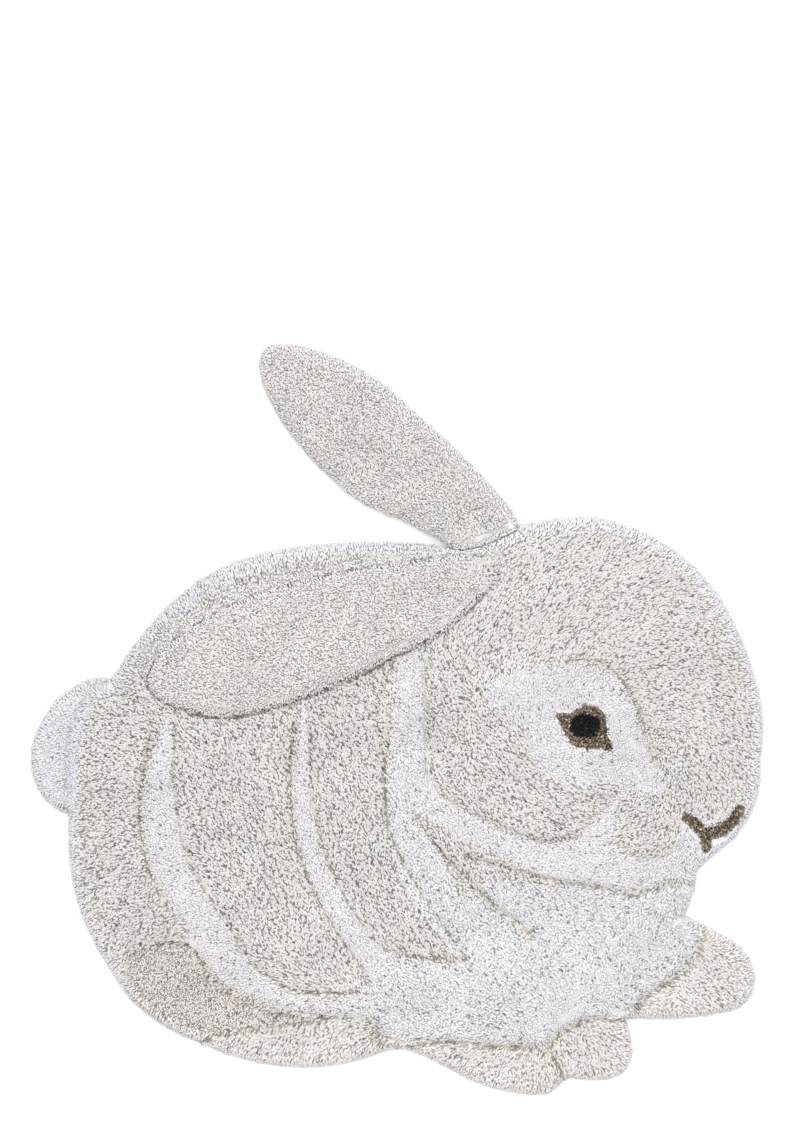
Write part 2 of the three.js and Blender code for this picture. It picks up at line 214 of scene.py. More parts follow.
def canvasBacking():
    # Unbleached cotton canvas, plain weave: threads 1.2 mm apart, drawn at 2.4 mm so that they show
    mat, tree, shader = newMaterial("cottonCanvas", {
        "Roughness": 0.85, "IOR": 1.45, "Specular IOR Level": 0.25,
    })
    thread = 2.4
    bandsInUnit = 3.2  # bands that the wave texture has in one unit at scale 1
    place = addNode(tree, "ShaderNodeTexCoord")
    weave = []
    for way in ("X", "Y"):
        weave.append(addNode(tree, "ShaderNodeTexWave",
                             {"bands_direction": way, "Scale": 1 / (thread * mm) / bandsInUnit,
                              "Distortion": 0.6, "Detail Scale": 3.0},
                             {"Vector": (place, "Object")}))
    crossed = addNode(tree, "ShaderNodeMath", {"operation": "MULTIPLY"},
                      {0: (weave[0], "Fac"), 1: (weave[1], "Fac")})
    # Slubs in the yarn, some 17 mm apart
    slub = addNode(tree, "ShaderNodeTexNoise", {"Scale": 60.0, "Detail": 3.0},
                   {"Vector": (place, "Object")})
    blend = addNode(tree, "ShaderNodeMath", {"operation": "MULTIPLY"},
                    {0: (crossed, "Value"), 1: (slub, "Fac")})
    tint = addNode(tree, "ShaderNodeValToRGB", {}, {"Fac": (blend, "Value")})
    tint.color_ramp.elements[0].color = (*linearOf("#A99C86"), 1)
    tint.color_ramp.elements[1].color = (*linearOf("#DCD2BF"), 1)
    tint.color_ramp.elements[1].position = 0.45
    tree.links.new(tint.outputs["Color"], shader.inputs["Base Color"])
    relief = addNode(tree, "ShaderNodeBump", {"Strength": 0.5, "Distance": 0.4 * mm},
                     {"Height": (crossed, "Value")})
    tree.links.new(relief.outputs["Normal"], shader.inputs["Normal"])
    return mat


def studioFloor():
    # White paper sweep: matt, and nearly as bright as the background
    return newMaterial("paperSweep", {
        "Base Color": (0.97, 0.97, 0.97, 1), "Roughness": 0.9, "Specular IOR Level": 0.1,
    })[0]


longPile = cottonPile("cottonLongPile", fibre=1.1, fibreDepth=0.8)
shortPile = cottonPile("cottonShortPile", fibre=0.8, fibreDepth=0.5)
canvas = canvasBacking()
print("materials made")

floorMesh = bpy.data.meshes.new("floor")
floorMesh.from_pydata([(-6, -6, 0), (6, -6, 0), (6, 6, 0), (-6, 6, 0)], [], [(0, 1, 2, 3)])
floorMesh.materials.append(studioFloor())
floor = placeObject("floor", floorMesh)


# What the frame gives: each node's outline and the height of its top

def outlineAt(node, height):
    # The node's outer outline at a height, in millimetres, walked from a level cut through it
    cut = bmesh.new()
    cut.from_mesh(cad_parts[node].data)
    bmesh.ops.remove_doubles(cut, verts=cut.verts, dist=0.01 * mm)
    found = bmesh.ops.bisect_plane(cut, geom=[*cut.verts, *cut.edges, *cut.faces],
                                   plane_co=(0, 0, height * mm), plane_no=(0, 0, 1))
    edges = [e for e in found["geom_cut"] if isinstance(e, bmesh.types.BMEdge)]
    around = {}
    for e in edges:
        for v in e.verts:
            around.setdefault(v, []).append(e)
    loops, used = [], set()
    for start in edges:
        if start in used:
            continue
        used.add(start)
        loop = [start.verts[0], start.verts[1]]
        while True:
            onward = [e for e in around[loop[-1]] if e not in used]
            if not onward:
                break
            used.add(onward[0])
            loop.append(onward[0].other_vert(loop[-1]))
        loops.append(np.array([v.co[:2] for v in loop]) / mm)
    cut.free()
    return max(loops, key=len)


def evenly(loop, step):
    # The closed outline again, with points a step apart
    closed = np.vstack([loop, loop[:1]])
    lengths = np.concatenate([[0], np.cumsum(np.linalg.norm(np.diff(closed, axis=0), axis=1))])
    at = np.arange(0, lengths[-1], step)
    return np.column_stack([np.interp(at, lengths, closed[:, k]) for k in (0, 1)])


def outwardOf(loop):
    run = unitOf(np.roll(loop, -3, axis=0) - np.roll(loop, 3, axis=0))
    outward = np.column_stack([run[:, 1], -run[:, 0]])
    return -outward if insideOf(loop, loop[:1] + outward[:1])[0] else outward


def treeOf(node):
    return BVHTree.FromPolygons(
        [tuple(v.co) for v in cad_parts[node].data.vertices],
        [tuple(p.vertices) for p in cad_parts[node].data.polygons],
    )


class Patch:
    # One tufted piece: its outline, and for any place the height of its top and the way to its rim
    def __init__(self, node, cutHeight):
        self.outline = evenly(outlineAt(node, cutHeight), 2.0)
        self.tree = treeOf(node)
        self.rim = nearestFinder(self.outline)
        self.outward = outwardOf(self.outline)

    def toRim(self, at):
        # How far inside the rim each place is, negative outside, and the direction out to it
        near = np.array([self.rim.find((x, y, 0))[1] for x, y in at])
        way = self.outline[near] - at
        away = np.linalg.norm(way, axis=1)
        inside = (way * self.outward[near]).sum(axis=1) > 0
        return np.where(inside, away, -away), unitOf(way) * np.where(inside, 1, -1)[:, None]

    def topAt(self, at):
        # Height of the node's top under each place, or not a number past its edge
        heights = np.full(len(at), np.nan)
        for i, (x, y) in enumerate(at):
            hit = self.tree.ray_cast(Vector((x * mm, y * mm, 1.0)), Vector((0, 0, -1)))
            if hit[0] is not None:
                heights[i] = hit[0].z / mm
        return heights


body = Patch("rug", cutHeight=7.7)
raised = Patch("ear_raised", cutHeight=3.0)
laid = Patch("ear_laid", cutHeight=20.5)
print("outlines read from the frame:", len(body.outline), len(raised.outline), len(laid.outline), "points")


# Markings. A band is a line through the middle of a stripe with half its width at each point, and
# a field is a closed outline. Later ones lie over earlier ones.

# For each tone: the fibre's colour, the share of it left at the root as painted shade, how evenly the pile
# lies, how far below the tips its bed is and how far a lock leans, both in millimetres, and the share of
# locks that are thin and painted dark as painted shade, to stand for gaps where the pile opens
tones = {
    "ecru": {"hex": "#E5E1DF", "root": 0.82, "calm": 0.0, "bed": 3.8, "lean": 10.0, "low": 0.07},
    "white": {"hex": "#E8E5E8", "root": 0.92, "calm": 0.95, "bed": 1.9, "lean": 8.5, "low": 0.03},
    "breast": {"hex": "#EBE9EC", "root": 0.88, "calm": 0.65, "bed": 2.4, "lean": 8.5, "low": 0.055},
    "shorn": {"hex": "#EBE6E3", "root": 0.72, "calm": 0.3, "bed": 3.8, "lean": 5.0, "low": 0.09},
    "ear": {"hex": "#EAE6E4", "root": 0.82, "calm": 0.25, "bed": 3.3, "lean": 7.5, "low": 0.06},
    "tail": {"hex": "#E3E1E8", "root": 0.92, "calm": 0.95, "bed": 1.9, "lean": 8.5, "low": 0.03},
    "brown": {"hex": "#8D7F6E", "root": 0.35, "calm": 0.4, "bed": 4.0, "lean": 3.0, "low": 0.12},
    "pupil": {"hex": "#121015", "root": 0.7, "calm": 0.8, "bed": 3.0, "lean": 2.6, "low": 0.0},
}

bands = {  # x, y, half width
    "haunch": [(-342, -8, 5), (-345, -45, 12), (-350, -75, 20), (-352, -115, 25), (-338, -208, 33),
               (-298, -288, 34), (-250, -360, 28), (-200, -402, 18), (-140, -425, 13), (-60, -433, 17),
               (-10, -437, 26)],
    "flank": [(-137, 12, 6), (-138, -40, 9), (-139, -110, 15), (-121, -208, 18), (-76, -300, 24),
              (-25, -364, 24), (10, -400, 34)],
    "neck": [(22, 90, 20), (20, 0, 25), (22, -70, 30)],
    "shoulder": [(18, -70, 32), (12, -120, 25), (24, -185, 30), (54, -250, 32), (98, -318, 30),
                 (150, -362, 40)],
    "jaw": [(24, -92, 26), (64, -132, 20), (120, -168, 19), (200, -203, 20), (280, -216, 32),
            (360, -226, 22), (430, -218, 22), (452, -214, 20)],
    "cheekEdge": [(286, -190, 22), (316, -154, 18), (350, -113, 16), (392, -98, 11)],
}

fields = {
    "tail": [(-412, 72), (-436, 36), (-460, 5), (-473, -45), (-478, -100), (-484, -150), (-560, -160),
             (-575, -40), (-540, 80)],
    "belly": [(-45, -400), (-20, -380), (0, -356), (60, -364), (112, -364), (150, -330), (200, -338),
              (240, -312), (300, -262), (352, -266), (400, -250), (445, -243), (470, -262), (440, -302),
              (456, -320), (448, -349), (420, -379), (382, -405), (347, -430), (344, -448), (310, -447),
              (275, -450), (244, -466), (228, -485), (160, -486), (80, -480), (-10, -477), (-35, -455),
              (-70, -446), (-90, -420)],
    "throatBelow": [(105, -262), (140, -232), (200, -246), (300, -256), (352, -272), (440, -250),
                    (440, -300), (240, -330), (150, -345), (110, -300)],
    "eyePatch": [(133, 35), (145, 56), (169, 68), (200, 77), (240, 84), (290, 82), (320, 69), (342, 42),
                 (357, 5), (372, -28), (388, -58), (410, -92), (362, -106), (330, -92), (282, -100),
                 (250, -95), (216, -78), (198, -45), (193, -12), (176, 3), (150, 11)],
    "muzzle": [(418, -150), (430, -136), (455, -142), (468, -152), (500, -138), (512, -122), (545, -118),
               (560, -160), (480, -205), (440, -235), (405, -218), (418, -190)],
}

bandTones = {"shoulder": "breast"}  # the other bands are white
fieldTones = {"belly": "breast", "throatBelow": "breast", "tail": "tail"}  # the other fields are white

ecruOver = {  # ecru again on a white field
    "puff": [(345, -118), (370, -110), (400, -112), (420, -128), (424, -160), (416, -190), (385, -207),
             (352, -200), (336, -172), (335, -146)],
    "throat": [(30, -132), (55, -160), (88, -190), (120, -212), (185, -232), (245, -238), (300, -246),
               (345, -258), (345, -264), (300, -256), (240, -250), (180, -240), (140, -234), (128, -244),
               (150, -276), (178, -300), (208, -330), (198, -334), (160, -304), (120, -266), (84, -226),
               (54, -182), (30, -150)],
    "chin": [(385, -246), (410, -240), (446, -236), (444, -246), (410, -250), (390, -256)],
}

darkFields = {
    "iris": [(238, 9), (245, -5), (252, -21), (263, -37), (276, -43), (298, -44), (323, -48), (324, -39),
             (318, -28), (315, -12), (312, 3), (307, 14), (298, 21), (285, 22), (272, 17), (263, 10),
             (250, 10)],
}
pupil = {"centre": (283, -10), "reach": (22, 18)}
nose = [  # strokes: x, y, half width
    [(433, -143, 7), (447, -156, 9), (462, -169, 9)],
    [(514, -132, 7), (502, -151, 9), (482, -165, 9), (462, -169, 9)],
    [(462, -169, 9), (463, -189, 8)],
]

creases = {  # where two fields of pile part
    "haunchBack": [(-362, -25), (-378, -120), (-370, -205), (-343, -270), (-300, -322)],
    "haunchFront": [(-326, -25), (-328, -110), (-303, -215), (-252, -300), (-212, -362), (-140, -404),
                    (-40, -412)],
    "flankBack": [(-150, -10), (-156, -110), (-140, -210), (-100, -300), (-45, -380)],
    "flankFront": [(-124, -10), (-123, -110), (-104, -205), (-55, -300), (0, -352), (112, -362)],
    "shoulderBack": [(4, 90), (-14, 50), (-22, 15), (-20, -25), (-14, -60), (-14, -100), (-4, -180),
                     (36, -255), (80, -320), (112, -362)],
    "jaw": [(43, 85), (46, 0), (50, -90), (90, -128), (150, -156), (215, -182), (272, -176)],
    "cheek": [(272, -176), (305, -143), (345, -100), (408, -98)],
    "puff": [(345, -112), (329, -150), (345, -195), (385, -209), (418, -190)],
    "throat": [(105, -206), (180, -227), (250, -244), (310, -251), (352, -264), (400, -247), (440, -241)],
    "breast": [(30, -150), (75, -205), (130, -262), (185, -304), (214, -334)],
    "belly": [(-30, -446), (-10, -478), (80, -480), (160, -487), (215, -488), (240, -508), (248, -538)],
    "nearPaw": [(228, -486), (244, -468), (275, -450), (310, -447), (340, -453)],
    "farPaw": [(345, -430), (382, -405), (420, -379), (448, -349), (452, -318)],
    "heel": [(-112, -443), (-60, -444), (-35, -452), (-20, -480)],
    "tailRoot": [(-430, 52), (-468, 20), (-487, -40), (-489, -100), (-490, -136)],
    "thighTop": [(-396, -350), (-360, -333), (-315, -331), (-290, -352), (-270, -388), (-200, -428),
                 (-112, -445)],
    "sole": [(-112, -446), (-180, -456), (-235, -461), (-300, -478)],
    "eyePatch": [(250, 86), (304, 82), (345, 40), (365, -10), (379, -48), (404, -76)],
}
faint = {  # creases that show less than the rest
    "jaw": 0.45, "cheek": 0.1, "puff": 0.25, "eyePatch": 0.8, "throat": 0.7, "tailRoot": 0.5,
}

cotton = [  # x, y, how pale the undyed cotton is there, how evenly it lies
    (-430, -200, 1.01, 0.0), (-430, 0, 1.01, 0.0), (-220, -250, 1.0, 0.0), (-200, -60, 1.0, 0.0),
    (-60, -150, 1.0, 0.0), (20, 20, 1.0, 0.0), (-250, 200, 1.02, 0.4), (0, 250, 1.02, 0.5),
    (120, -60, 1.02, 0.1), (150, 180, 1.01, 0.5), (250, -60, 1.0, 0.3), (300, 200, 0.99, 0.7),
    (440, 60, 0.97, 0.7), (380, -140, 1.0, 0.3), (480, -60, 0.97, 0.7), (150, -450, 1.01, 0.5),
    (480, -390, 1.0, 1.0), (400, -420, 1.0, 1.0), (250, -520, 1.0, 1.0), (180, -540, 1.0, 1.0),
    (-150, -490, 1.01, 0.8), (-300, -440, 1.01, 0.5), (540, 60, 0.98, 0.7), (60, -300, 0.99, 0.0),
]

combed = [  # x, y, which way the pile lies there, in degrees
    (-430, -200, 200), (-430, 0, 170), (-380, -300, 230), (-300, -100, 120), (-250, 200, 120),
    (-220, -250, 118), (-200, -60, 128), (-60, -150, 118), (-60, -330, 105), (-40, 245, 100),
    (20, 20, 140), (60, -300, 128), (100, -60, 130), (120, -420, 130), (150, 180, 60), (180, -330, 130),
    (230, 250, 30), (240, 160, 45), (250, -20, 140), (280, -280, 150), (300, 110, 20), (340, 240, 28),
    (380, 140, 15), (380, -60, 140), (400, -180, 175), (440, 60, -15), (480, -60, -25),
    (490, -380, -15), (420, -430, -50), (415, -15, -30), (440, -105, 255), (430, -256, 260),
    (340, -390, 85), (500, -200, -30), (300, -500, -60), (120, -520, -110), (-150, -490, -120),
    (-350, -420, 215), (-520, -40, 185),
]
blendReach = {"cotton": 70.0, "combed": 75.0, "rim": 60.0}  # how far a place's value carries


def placed(points):
    p = np.array(points, float)
    p[:, 0] += shiftX
    p[:, 1] += shiftY
    return p


def inBand(rows, at):
    fine = curveThrough(placed(rows))
    who = nearBox(fine[:, :2], at, fine[:, 2].max())
    away, along = nearestOn(fine[:, :2], at[who])
    width = np.interp(along * (len(fine) - 1), np.arange(len(fine)), fine[:, 2])
    inside = np.zeros(len(at), bool)
    inside[who] = away < width
    return inside


def curveLoop(points):
    # A smooth closed outline through the points of a field
    p = placed(points)
    around = curveThrough(np.vstack([p[-2:], p, p[:2]]), 6.0)
    first = int(np.argmin(np.linalg.norm(around - p[0], axis=1)))
    last = len(around) - 1 - int(np.argmin(np.linalg.norm(around[::-1] - p[0], axis=1)))
    return around[first:last] if last > first + 3 else p


def wander(at, seed=31, reach=2.0, size=22):
    # Edges of a tufted colour run unevenly
    return at + reach * np.column_stack([smoothNoise(at, size, seed), smoothNoise(at, size, seed + 1)])


def markingAt(at):
    # The tone of the pile rooted at each place
    tone = np.full(len(at), "ecru", dtype=object)
    loose = wander(at)
    for name, rows in bands.items():
        tone[inBand(rows, loose)] = bandTones.get(name, "white")
    for name, points in fields.items():
        tone[insideOf(curveLoop(points), loose)] = fieldTones.get(name, "white")
    for points in ecruOver.values():
        tone[insideOf(curveLoop(points), loose)] = "ecru"
    fine = wander(at, seed=57, reach=1.2, size=9)
    for points in darkFields.values():
        tone[insideOf(placed(points), fine)] = "brown"
    for rows in nose:
        tone[inBand(rows, fine)] = "brown"
    fromPupil = (fine - placed([pupil["centre"]])) / np.array(pupil["reach"])
    tone[(fromPupil**2).sum(axis=1) < 1] = "pupil"
    return tone


def blended(rows, at, reach, values=None):
    # What is known at a few places, smoothly blended between them: the rows' own values or others
    known = np.array(rows, float)
    apart = ((at[:, None, :] - placed(known[:, :2])[None]) ** 2).sum(axis=2)
    weight = np.exp(-apart / (2 * reach**2)) + 1e-12
    return (weight @ (known[:, 2:] if values is None else values)) / weight.sum(axis=1)[:, None]


def combedAt(at):
    # The way in which the pile lies: a direction, shorter where ways that differ meet and it stands up
    angles = np.radians([row[2] for row in combed])
    ways = np.column_stack([np.cos(angles), np.sin(angles)])
    mixed = blended(combed, at, blendReach["combed"], ways)
    strength = np.linalg.norm(mixed, axis=1)
    return mixed / np.maximum(strength, 0.4)[:, None]


def edgeWaver(at):
    # How the rims and the laid ear's edge run in and out, the same for all that meets there
    return smoothNoise(at, 17, 43)


def turned(ways, angles):
    c, s = np.cos(angles), np.sin(angles)
    return np.column_stack([c * ways[:, 0] - s * ways[:, 1], s * ways[:, 0] + c * ways[:, 1]])


# Pile. The lower part of the pile is a closed bed built on the imported model's top, and locks stand out
# of it.
# Each lock is a three-sided spindle with one bend.

pile = {
    "spacing": 2.75, "fineSpacing": 2.2, "width": 3.7,  # locks, and those of the shorn thigh
    "clump": 6.4, "gather": 0.36, "turnSpread": 0.24, "lift": 0.8,  # clumps: size, hold, turn, unevenness
    "leanSpread": 0.25, "uneven": 0.8,  # how unlike each other single locks lean and end
    "along": 0.6, "bend": 0.84,  # where a lock bends, and its height there as a share of the top's
    "thin": 0.6, "shadow": 0.32,  # a shaded lock's width and brightness, as shares
    "rimSplay": 27.0, "rimLength": 27.0,  # how far in it turns outward, and the longest lean there
    "rimReach": 6.5, "rimWave": 0.5, "ragged": 0.6, "upReach": 0.0,  # how far the tips go past the rim
    "parting": 7.0, "partBy": 1.6,  # how wide a crease parts the pile, and how far
    "bedSpacing": 7.0, "bedOut": 0.0,  # the bed's points, and its edge out from the rim
    "low": 2.4, "edge": 8.0,  # lowest root, and height at the rim
}
earPile = {
    "spacing": 2.4, "width": 2.8, "clump": 5.2, "gather": 0.3, "turnSpread": 0.22, "lift": 0.7,
    "leanSpread": 0.25, "uneven": 0.8, "along": 0.6, "bend": 0.8, "rimSplay": 17.0, "rimLength": 10.0,
    "rimReach": 0.8, "rimWave": 1.6, "ragged": 0.7, "upReach": 0.0, "bedSpacing": 6.0, "bedOut": -2.5,
    "thin": 0.6, "shadow": 0.5, "low": 2.4, "edge": 5.0,
    "combed": 137,  # which way the ear's pile lies, in degrees
    # Painted light and shade: the ear's pale rim is painted light, and the darkening of its tips is
    # painted shade
    "litRimWidth": 16.0, "pale": 1.0, "tipDark": 0.34,  # width of the pale rim, paleness, shade of its tips
    "notch": 0.0,  # how far the roots draw back from the lower edge, so that it runs unevenly
}
laidEarPile = {  # its upper edge lies out over the back
    **earPile, "rimReach": 1.5, "rimWave": 5.0, "ragged": 4.0, "upReach": 6.0, "bedOut": -6.5,
    "low": 19.3, "edge": 22.0, "combed": 160, "pale": 1.035, "tipDark": 0.0, "notch": 6.0,
}


def jitteredGrid(outline, spacing):
    # Places a spacing apart in rows, each moved a little, inside an outline
    low, high = outline.min(axis=0) - 1, outline.max(axis=0) + 1
    rise = spacing * math.sqrt(3) / 2
    ys = np.arange(low[1], high[1], rise)
    rows = []
    for i, y in enumerate(ys):
        xs = np.arange(low[0] + (i % 2) * spacing / 2, high[0], spacing)
        rows.append(np.column_stack([xs, np.full(len(xs), y)]))
    spots = np.vstack(rows)
    spots = spots + rng.uniform(-0.36, 0.36, spots.shape) * spacing
    return spots[insideOf(outline, spots)]


def dyedPiece(name, mesh, rgba, material):
    # The object of a pile mesh, smooth shaded, with a colour at each corner
    mesh.polygons.foreach_set("use_smooth", np.ones(len(mesh.polygons), bool))
    mesh.color_attributes.new("pileColour", "FLOAT_COLOR", "POINT").data.foreach_set("color", rgba.ravel())
    mesh.materials.append(material)
    return placeObject(name, mesh)


def growLocks(name, roots, bends, tips, widths, colours, rootShade, tipShade, material):
    # One mesh of closed locks. Five corners each: the root, three round the bend, and the tip.
    girth = 0.56  # from a lock's middle to its corners, as a share of its width
    rootTint = [1, 0.97, 0.91]
    count = len(roots)
    axis = unitOf(tips - roots)
    side = unitOf(np.cross(axis, [0, 0, 1.0]))
    over = np.cross(side, axis)
    turn = rng.uniform(0, math.tau, count)
    corners = np.zeros((count, 5, 3))
    corners[:, 0] = roots
    for k in range(3):
        angle = turn + math.tau * k / 3
        spoke = np.cos(angle)[:, None] * side + np.sin(angle)[:, None] * over
        corners[:, 1 + k] = bends + spoke * (widths * girth)[:, None]
    corners[:, 4] = tips
    corners[:, :, 2] = np.maximum(corners[:, :, 2], 0.3)

    faces = [(2, 1, 0), (3, 2, 0), (1, 3, 0), (1, 2, 4), (2, 3, 4), (3, 1, 4)]
    loops = (np.arange(count)[:, None] * 5 + np.ravel(faces)[None]).ravel()
    mesh = bpy.data.meshes.new(name)
    mesh.vertices.add(count * 5)
    mesh.vertices.foreach_set("co", (corners.reshape(-1, 3) * mm).ravel())
    mesh.loops.add(len(loops))
    mesh.loops.foreach_set("vertex_index", loops.astype(np.int32))
    mesh.polygons.add(count * 6)
    mesh.polygons.foreach_set("loop_start", np.arange(0, len(loops), 3, dtype=np.int32))
    mesh.update(calc_edges=True)

    # Each lock has its own small square of the surface map: its root's sides below, its tip's above
    across = math.ceil(math.sqrt(count))
    cell = 1 / across
    corner = np.column_stack([np.arange(count) % across, np.arange(count) // across]) * cell
    unrolled = []
    for k in range(3):
        unrolled += [((k + 1) / 3, 0.4), (k / 3, 0.4), ((k + 0.5) / 3, 0.01)]
    for k in range(3):
        unrolled += [(k / 3, 0.43), ((k + 1) / 3, 0.43), ((k + 0.5) / 3, 0.99)]
    uv = corner[:, None, :] + (0.04 + 0.92 * np.array(unrolled))[None] * cell
    mesh.uv_layers.new(name="OFBake")
    mesh.uv_layers["OFBake"].uv.foreach_set("vector", uv.astype(np.float32).ravel())

    # A lock is darker and a little browner towards its root, where less light reaches the fibres
    rgba = np.ones((count, 5, 4))
    rgba[:, 0, :3] = colours * rootShade[:, None] * rootTint
    rgba[:, 1:4, :3] = (colours * (0.3 * rootShade + 0.7)[:, None])[:, None, :]
    rgba[:, 4, :3] = colours * tipShade[:, None]
    return dyedPiece(name, mesh, rgba, material)


def offset(loop, by):
    # The outline moved outward, or inward where the distance is below zero
    return loop + outwardOf(loop) * by


def growBed(name, patch, dial, heightsAt, coloursAt, material):
    # The pile between the locks, on the imported model's top: closed, lumpy, a few millimetres below the
    # tips
    edge = evenly(offset(patch.outline, dial["bedOut"]), dial["bedSpacing"])
    inner = jitteredGrid(patch.outline, dial["bedSpacing"])
    inner = inner[patch.toRim(inner)[0] > dial["bedSpacing"] * 0.6]
    spots = [Vector(p) for p in np.vstack([edge, inner])]
    corners, _, faces, *_ = delaunay_2d_cdt(spots, [], [list(range(len(edge)))], 1, 1e-4)
    flat = np.array([tuple(c) for c in corners])
    heights = heightsAt(flat)
    bed = bmesh.new()
    made = [bed.verts.new((x * mm, y * mm, z * mm)) for (x, y), z in zip(flat, heights)]
    for face in faces:
        bed.faces.new([made[i] for i in face])
    skirt = bmesh.ops.extrude_edge_only(bed, edges=[e for e in bed.edges if e.is_boundary])["geom"]
    for v in skirt:
        if isinstance(v, bmesh.types.BMVert):
            v.co.z = dial["low"] * mm
    bmesh.ops.edgeloop_fill(bed, edges=[e for e in skirt if isinstance(e, bmesh.types.BMEdge)])
    bmesh.ops.triangulate(bed, faces=[f for f in bed.faces if len(f.verts) > 3])
    bmesh.ops.recalc_face_normals(bed, faces=bed.faces)
    mesh = bpy.data.meshes.new(name)
    bed.to_mesh(mesh)
    bed.free()
    at = np.array([v.co[:2] for v in mesh.vertices]) / mm
    rgba = np.ones((len(at), 4))
    rgba[:, :3] = coloursAt(at)
    return dyedPiece(name, mesh, rgba, material)


def allOf(tone, at):
    return np.full(len(at), tone, dtype=object)


def toneValue(tone, key):
    return np.array([tones[t][key] for t in tone])


def calmOf(tone, at):
    # The head's cotton and the paws' lie more evenly than the haunch's
    local = blended(cotton, at, blendReach["cotton"])[:, 1]
    return np.maximum(toneValue(tone, "calm"), local * (tone == "ecru"))


def clumpsFor(outline, dial):
    # Neighbouring locks hold together in clumps, each with a turn, a lift and a shade of its own
    centres = jitteredGrid(outline, dial["clump"])
    return {
        "centres": centres, "tree": nearestFinder(centres),
        "turn": rng.normal(0, dial["turnSpread"], len(centres)),
        "lift": rng.normal(0, dial["lift"], len(centres)),
        "shade": rng.normal(1, 0.02, len(centres)),
    }


toneColours = {name: linearOf(tone["hex"]) for name, tone in tones.items()}


def colourOf(tone, at, shade):
    # The cotton's colour, with broad paler and darker swells and a warmer or cooler tinge in each lock
    base = np.array([toneColours[t] for t in tone])
    broad = 1 + 0.03 * smoothNoise(at, 130, 91)
    warm = 0.006 * smoothNoise(at, 70, 17) + rng.normal(0, 0.008, len(at))
    colour = base * (broad * shade)[:, None]
    colour[:, 0] *= 1 + warm
    colour[:, 2] *= 1 - warm
    return np.clip(colour, 0.004, 0.95)


def layLocks(patch, dial, roots, ways, tone):
    # Where each lock ends, seen from above. Calm pile lies evenly, and the rest gathers in clumps.
    calm = calmOf(tone, roots)
    clumps = clumpsFor(patch.outline, dial)
    near = np.array([clumps["tree"].find((x, y, 0))[1] for x, y in roots])
    depth, out = patch.toRim(roots)
    firm = 0.4 + 0.6 * np.linalg.norm(ways, axis=1)
    ways = turned(ways, (clumps["turn"][near] + rng.normal(0, 0.18, len(roots))) * (1 - 0.4 * calm))

    # The pile turns outward towards the rim, and its tips end there
    splay = 1 - smoothStep(0.3 * dial["rimSplay"], dial["rimSplay"], depth)
    ways = unitOf(ways * (1 - splay)[:, None] + (out + 0.25 * ways) * (1.6 * splay)[:, None])
    lean = toneValue(tone, "lean") * (1 + 0.3 * calm * (tone == "ecru")) * firm
    lean *= np.clip(rng.normal(1, dial["leanSpread"], len(roots)), 0.3, 1.8)
    short = rng.uniform(0.45, 1, len(roots)) ** 0.6
    reach = dial["rimReach"] + dial["rimWave"] * edgeWaver(roots) + dial["upReach"] * (out[:, 1] > 0.3)
    reach += dial["ragged"] * clumps["lift"][near]
    toEdge = np.clip((depth + reach) * short, 2.0, dial["rimLength"])
    lean = lean * (1 - splay) + toEdge * splay
    tipSpot = roots + ways * lean[:, None]
    pull = dial["gather"] * (1 - splay) * (1 - calm)
    tipSpot += (clumps["centres"][near] + ways * lean[:, None] - tipSpot) * pull[:, None]
    return clumps, near, splay, tipSpot


besideEar = {  # how the body's pile meets the laid ear, in millimetres
    "top": 25.6, "crest": 1.6, "fall": 0.1,  # its height, what the back adds, its fall on the way out
    "full": 16, "reach": 20,  # how far out it stays high, and where that ends
    "over": 3, "gap": 1.6, "gapWaver": 2.0,  # how far it fills over the upper edge and off the lower
    "lap": 9.0, "stayOff": 0.5,  # how far the back's locks lean over the ear, and the flank's away
    "pressed": 15.5, "pressedBend": 15.0,  # highest tip and bend under it, below its backing
}


def stepFilled(at, height, depth):
    # The back's pile fills the step above the laid ear, and the flank's comes up close below it
    dial = besideEar
    close = nearBox(laid.outline, at, dial["reach"])
    earDepth, earOut = laid.toRim(at[close])
    above = smoothStep(-0.1, 0.3, earOut[:, 1])
    start = (1 - above) * (dial["gap"] - dial["gapWaver"] * edgeWaver(at[close])) - dial["over"] * above
    share = smoothStep(start, start + 2.5, -earDepth)
    share *= 1 - smoothStep(dial["full"], dial["reach"], -earDepth)
    share *= smoothStep(4, 16, depth[close])
    filled = dial["top"] + above * (dial["crest"] + dial["fall"] * earDepth)
    lift = np.zeros(len(at))
    lift[close] = share * np.maximum(filled - height[close], 0)
    return lift


def heightOf(patch, at, edgeHeight):
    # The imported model's top, and past its edge the height to which the pile falls within 8 mm
    tops = patch.topAt(at)
    depth = patch.toRim(at)[0]
    fallen = edgeHeight * np.clip(1 + depth / 8.0, 0.12, 1)
    height = np.where(np.isnan(tops), fallen, tops)
    if patch is body:
        height += stepFilled(at, height, depth)
    return height, depth


